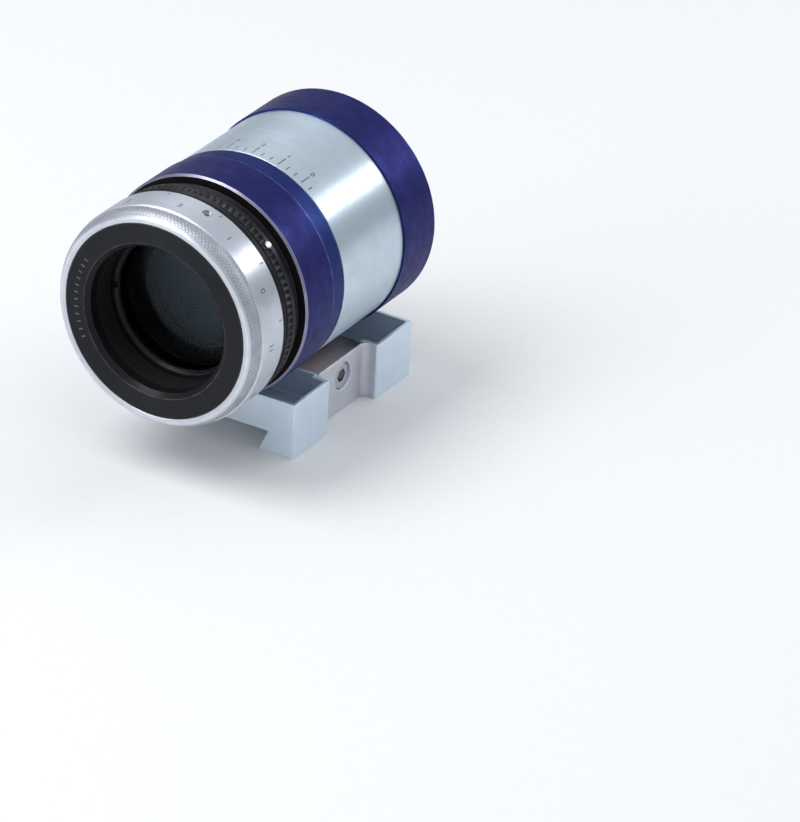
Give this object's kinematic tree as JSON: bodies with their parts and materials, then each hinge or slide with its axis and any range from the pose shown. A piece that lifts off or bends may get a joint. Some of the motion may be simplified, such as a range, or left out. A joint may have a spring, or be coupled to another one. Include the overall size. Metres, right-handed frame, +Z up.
{
  "type": "guide camera",
  "caption": "Pocket guide camera: focusing lens with lock ring in a blue and silver turned body, on a clamping dovetail foot.",
  "frame": {"origin": "middle of the foot's underside, below the middle of the overall length", "axes": "+Z up, the lens faces -Y, the tube axis runs along Y 33.4 mm above the underside"},
  "size_m": [0.0456, 0.065, 0.0562],
  "materials": {
    "silver_anodised": "satin clear anodised",
    "blue_anodised": "satin blue anodised",
    "black_anodised": "satin black anodised",
    "blasted_aluminium": "bead blasted and clear anodised",
    "bearing_brass": "turned",
    "steel": "machined stainless steel",
    "black_steel": "black oxide",
    "optical_glass": "polished and coated",
    "seal_rubber": "moulded",
    "circuit_board": "solder mask",
    "black_plastic": "moulded",
    "plated_steel": "nickel plated",
    "gold_contacts": "gold plated",
    "ceramic": "fired ceramic",
    "silicon": "polished die"
  },
  "bodies": {
    "housing": {"lens_mount": "black_anodised", "guide_pins": "steel", "snap_ring": "steel", "front_collar": "blue_anodised", "front_cover": "blue_anodised", "front_seal": "seal_rubber", "body_tube": "silver_anodised", "rear_seal": "seal_rubber", "rear_ring": "blue_anodised", "rear_plate": "black_anodised", "rear_plate_screws": "black_steel", "usb_socket": "plated_steel", "usb_tongue": "black_plastic", "guide_port": "black_plastic", "guide_port_contacts": "gold_contacts", "sensor_window": "optical_glass", "window_retainer": "black_anodised", "front_standoffs": "bearing_brass", "sensor_board": "circuit_board", "sensor_package": "ceramic", "sensor_die": "silicon", "sensor_glass": "optical_glass", "rear_standoffs": "bearing_brass", "board_components": "black_plastic", "header_base": "black_plastic", "header_pins": "gold_contacts", "header_socket": "black_plastic", "interface_board": "circuit_board", "controller_chip": "black_plastic", "board_screws": "black_steel", "foot": "blasted_aluminium", "foot_screws": "steel"},
    "focus": {"focus_ring": "silver_anodised", "helicoid_ring": "bearing_brass", "focus_ring_screws": "steel"},
    "lens": {"bezel": "black_anodised", "lens_cell": "black_anodised", "front_retainer": "black_anodised", "front_lens": "optical_glass", "lens_spacer": "black_anodised", "crown_lens": "optical_glass", "flint_lens": "optical_glass", "aperture_stop": "black_anodised", "rear_lens": "optical_glass", "rear_retainer": "black_anodised"},
    "lock": {"lock_ring": "black_anodised", "lock_screw": "steel"},
    "clamp_ball": {"clamp_ball": "steel"},
    "clamp_screw": {"clamp_screw": "steel"},
    "clamp_plunger": {"clamp_plunger": "bearing_brass"}
  },
  "joints": [
    {"name": "focus_turn", "type": "hinge", "parent": "housing", "child": "focus", "pos_m": [0, -0.0274, 0.0334], "axis": [0, -1, 0], "range_deg": [-60, 240]},
    {"name": "lens_travel", "type": "slide", "parent": "housing", "child": "lens", "axis": [0, -1, 0], "range_m": [-0.00033, 0.00133]},
    {"name": "lock_turn", "type": "hinge", "parent": "housing", "child": "lock", "pos_m": [0, -0.0274, 0.0334], "axis": [0, 1, 0], "range_deg": [0, 40]},
    {"name": "clamp_travel", "type": "slide", "parent": "housing", "child": "clamp_ball", "axis": [-1, 0, 0], "range_m": [0, 0.0005]},
    {"name": "clamp_turn", "type": "hinge", "parent": "clamp_ball", "child": "clamp_screw", "pos_m": [0.0145, 0.0117, 0.0076], "axis": [-1, 0, 0], "range_deg": [0, 360.5]},
    {"name": "plunger_travel", "type": "slide", "parent": "housing", "child": "clamp_plunger", "axis": [0, 0, -1], "range_m": [0, 0.000501]}
  ],
  "couplings": [
    {"joint": "lens_travel", "follows": "focus_turn", "m_per_rad": 0.00031831},
    {"joint": "clamp_turn", "follows": "clamp_travel", "rad_per_m": 12566},
    {"joint": "plunger_travel", "follows": "clamp_travel", "ratio": 1}
  ]
}
